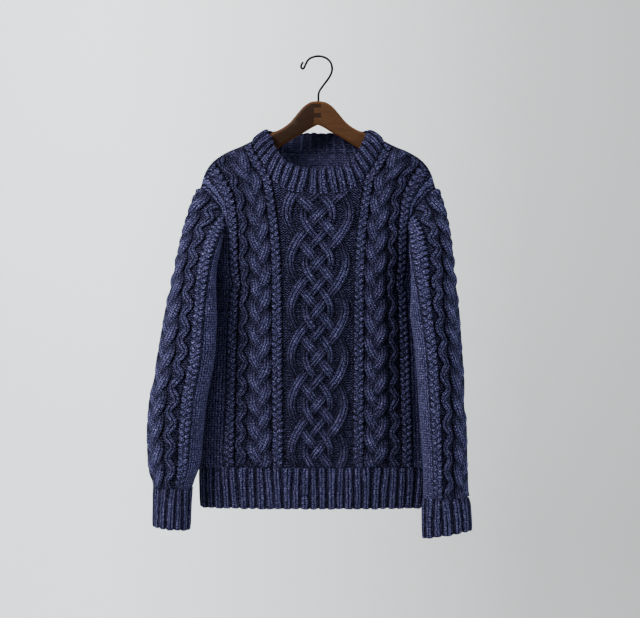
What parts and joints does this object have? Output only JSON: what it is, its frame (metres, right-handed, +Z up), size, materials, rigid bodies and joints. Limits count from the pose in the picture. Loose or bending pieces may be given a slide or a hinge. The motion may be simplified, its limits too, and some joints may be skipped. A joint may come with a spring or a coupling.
{
  "type": "aran sweater on a wooden hanger",
  "caption": "Long-sleeved aran cable-knit crew-neck sweater, hung on a shaped wooden hanger with a wire hook.",
  "frame": {"origin": "inside top of the wire hook, where it rests on whatever holds it", "axes": "+Z up; the sweater's front faces -Y; +X to the right as seen from the front (the wearer's left)"},
  "size_m": [0.5565, 0.1945, 0.8385],
  "materials": {
    "wool_panels": "matte knitted wool, marled dark blue",
    "wool_sleeves": "matte knitted wool, marled dark blue",
    "wool_ribbing": "matte ribbed wool, marled dark blue",
    "hanger_wood": "stained wood, satin, worn",
    "hook_wire": "black, semi-matte"
  },
  "bodies": {
    "root": {"front": "wool_panels", "back": "wool_panels", "left_sleeve": "wool_sleeves", "right_sleeve": "wool_sleeves", "neckband": "wool_ribbing", "front_hem_rib": "wool_ribbing", "back_hem_rib": "wool_ribbing", "left_cuff": "wool_ribbing", "right_cuff": "wool_ribbing", "hanger_body": "hanger_wood", "hanger_hook": "hook_wire"}
  },
  "joints": []
}
